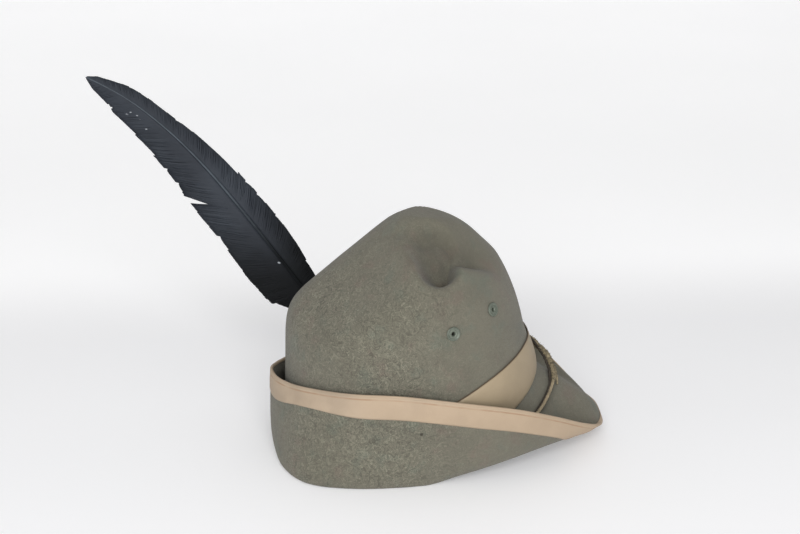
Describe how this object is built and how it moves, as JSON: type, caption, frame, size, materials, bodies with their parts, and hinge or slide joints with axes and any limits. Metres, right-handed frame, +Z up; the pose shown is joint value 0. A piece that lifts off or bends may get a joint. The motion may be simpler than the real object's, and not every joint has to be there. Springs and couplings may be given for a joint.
{
  "type": "alpine felt hat",
  "caption": "Alpine military felt hat with a dented crown, a brim turned up at the sides and back, a peaked front, a band, a bound rim, a cord with its knot, vent eyelets and a long feather.",
  "frame": {"origin": "middle of the underside of the bounding box of the whole hat, feather included, on the surface it rests on", "axes": "+X forward to the peak, +Y to the wearer's left where the feather is, +Z up"},
  "size_m": [0.4132, 0.1896, 0.2822],
  "materials": {
    "felt": "matt grey-green wool felt with light flecks",
    "band": "smooth tan leather band, matt",
    "binding": "smooth tan leather binding with a stitched seam",
    "cord": "twisted cord",
    "knot": "coarse wound cord",
    "eyelet": "grey-green paint, satin",
    "feather": "dark feather with a pale quill line",
    "holder": "dull grey"
  },
  "bodies": {
    "root": {"felt_body": "felt", "hat_band": "band", "brim_binding": "binding", "hat_cord": "cord", "cord_knot": "knot", "vent_eyelet_right_rear": "eyelet", "vent_eyelet_right_front": "eyelet", "vent_eyelet_left_rear": "eyelet", "vent_eyelet_left_front": "eyelet", "feather": "feather", "feather_holder": "holder"}
  },
  "joints": []
}
